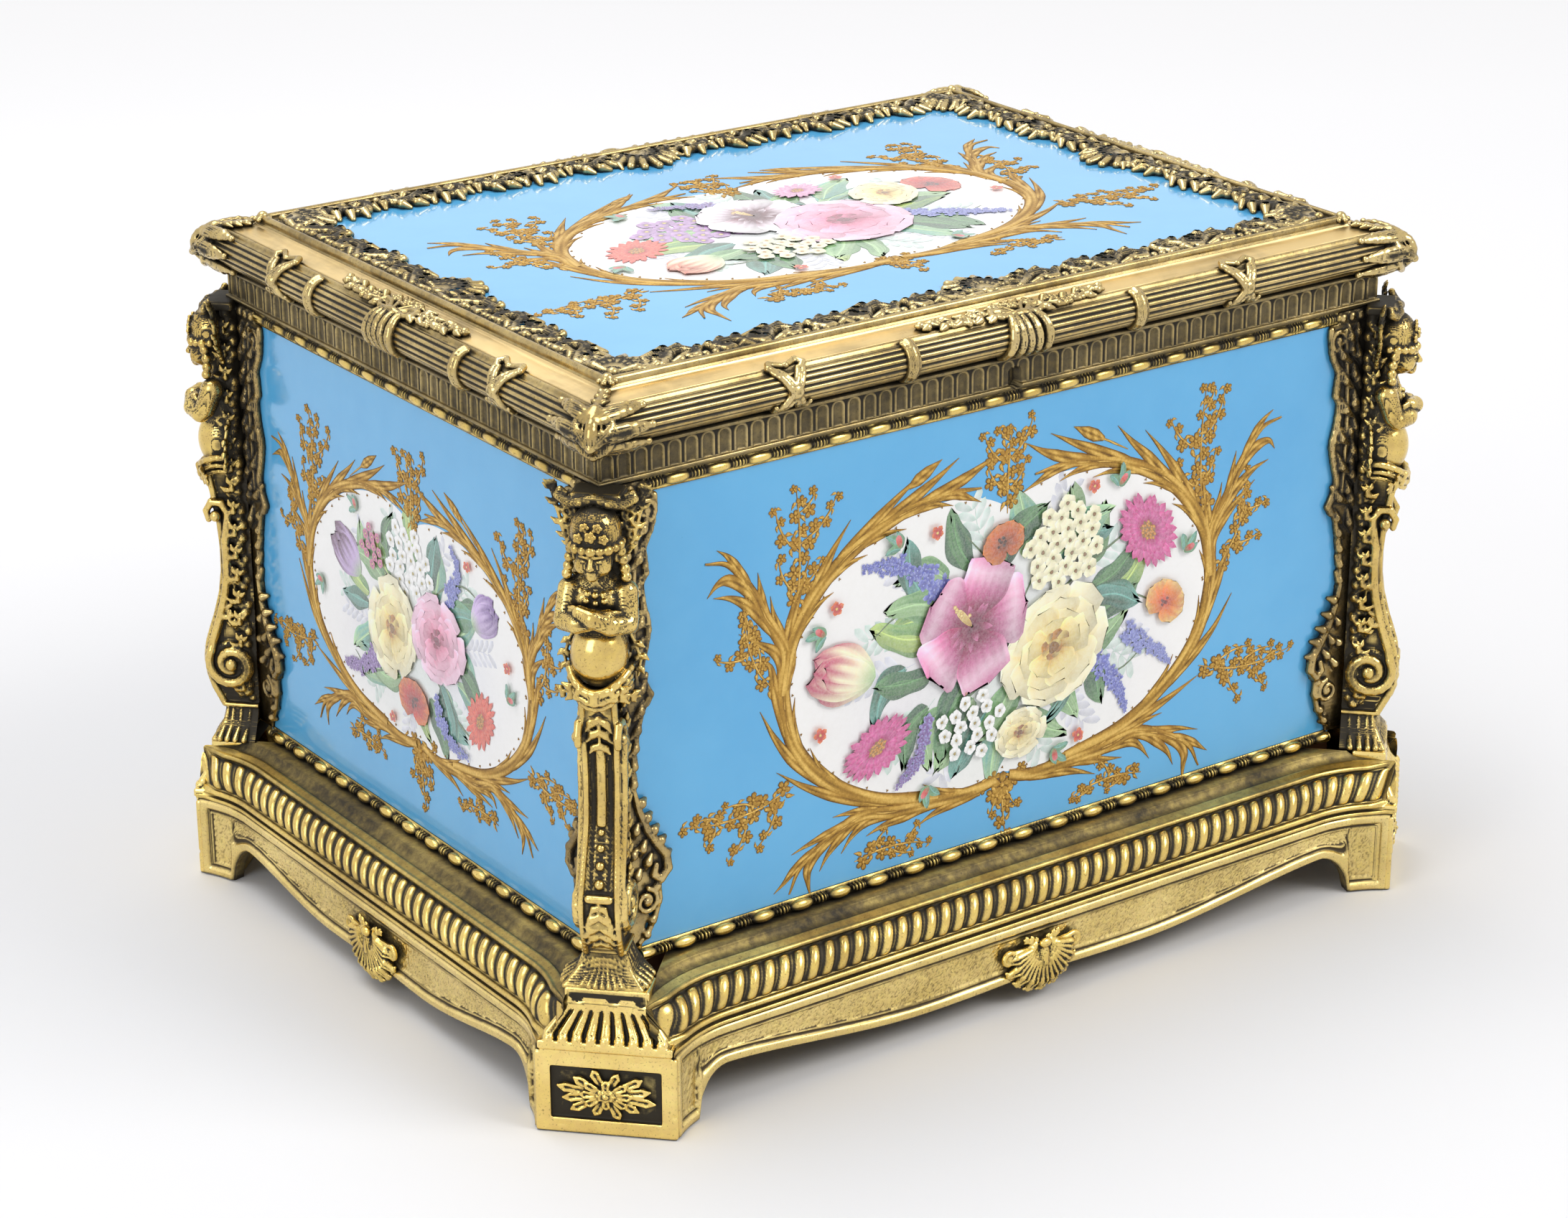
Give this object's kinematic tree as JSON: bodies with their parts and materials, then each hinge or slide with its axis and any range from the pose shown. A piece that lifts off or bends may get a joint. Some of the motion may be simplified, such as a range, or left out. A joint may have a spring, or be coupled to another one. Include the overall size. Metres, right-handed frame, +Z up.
{
  "type": "jewelry casket",
  "caption": "Rectangular casket of porcelain plaques in gilt bronze mounts, with corner figures, bracket feet and a hinged, locking lid.",
  "frame": {"origin": "on the table under the middle of the casket", "axes": "+Z up, +X to the right along the long side, -Y towards the front with the keyhole"},
  "size_m": [0.352, 0.2788, 0.2292],
  "materials": {
    "gilt_bronze": "cast and gilded, worn bright on the high points and brown in the hollows",
    "turquoise_porcelain": "glossy sky-blue glaze with a white reserve, raised gilding and painted flowers",
    "carcass_wood": "plain mahogany board",
    "crimson_velvet": "crimson cotton velvet",
    "polished_brass": "smooth brass",
    "blued_steel": "filed steel",
    "screw_steel": "turned steel"
  },
  "bodies": {
    "casket_body": {"apron_shells": "gilt_bronze", "back_apron": "gilt_bronze", "back_board": "carcass_wood", "back_frieze": "gilt_bronze", "back_left_figure": "gilt_bronze", "back_left_foot": "gilt_bronze", "back_plaque": "turquoise_porcelain", "back_plinth_moulding": "gilt_bronze", "back_right_figure": "gilt_bronze", "back_right_foot": "gilt_bronze", "base_screws": "screw_steel", "body_screws": "screw_steel", "figure_screws": "screw_steel", "floor_board": "carcass_wood", "floor_pad": "crimson_velvet", "foot_rosettes": "gilt_bronze", "front_apron": "gilt_bronze", "front_board": "carcass_wood", "front_frieze": "gilt_bronze", "front_left_figure": "gilt_bronze", "front_left_foot": "gilt_bronze", "front_plaque": "turquoise_porcelain", "front_plinth_moulding": "gilt_bronze", "front_right_figure": "gilt_bronze", "front_right_foot": "gilt_bronze", "hinge_pins": "blued_steel", "key_post": "blued_steel", "left_apron": "gilt_bronze", "left_board": "carcass_wood", "left_frieze": "gilt_bronze", "left_hinge_body_leaf": "polished_brass", "left_plaque": "turquoise_porcelain", "left_plinth_moulding": "gilt_bronze", "lock_case": "polished_brass", "lock_plate": "polished_brass", "lock_spring": "blued_steel", "lower_bead_strips": "gilt_bronze", "right_apron": "gilt_bronze", "right_board": "carcass_wood", "right_frieze": "gilt_bronze", "right_hinge_body_leaf": "polished_brass", "right_plaque": "turquoise_porcelain", "right_plinth_moulding": "gilt_bronze", "upper_bead_strips": "gilt_bronze", "wall_linings": "crimson_velvet"},
    "lock_bolt": {"lock_bolt": "blued_steel"},
    "lid": {"back_lid_rail": "gilt_bronze", "front_lid_rail": "gilt_bronze", "left_hinge_lid_leaf": "polished_brass", "left_lid_rail": "gilt_bronze", "lid_board": "carcass_wood", "lid_border": "gilt_bronze", "lid_corner_leaves": "gilt_bronze", "lid_pad": "crimson_velvet", "lid_plaque": "turquoise_porcelain", "lid_ribbons": "gilt_bronze", "lid_screws": "screw_steel", "lock_staples": "blued_steel", "right_hinge_lid_leaf": "polished_brass", "right_lid_rail": "gilt_bronze"}
  },
  "joints": [
    {"name": "lid_hinge", "type": "hinge", "parent": "casket_body", "child": "lid", "pos_m": [0, 0.1156, 0.2122], "axis": [-1, 0, 0], "range_deg": [0, 95]},
    {"name": "lock_slide", "type": "slide", "parent": "casket_body", "child": "lock_bolt", "axis": [1, 0, 0], "range_m": [0, 0.005]}
  ]
}
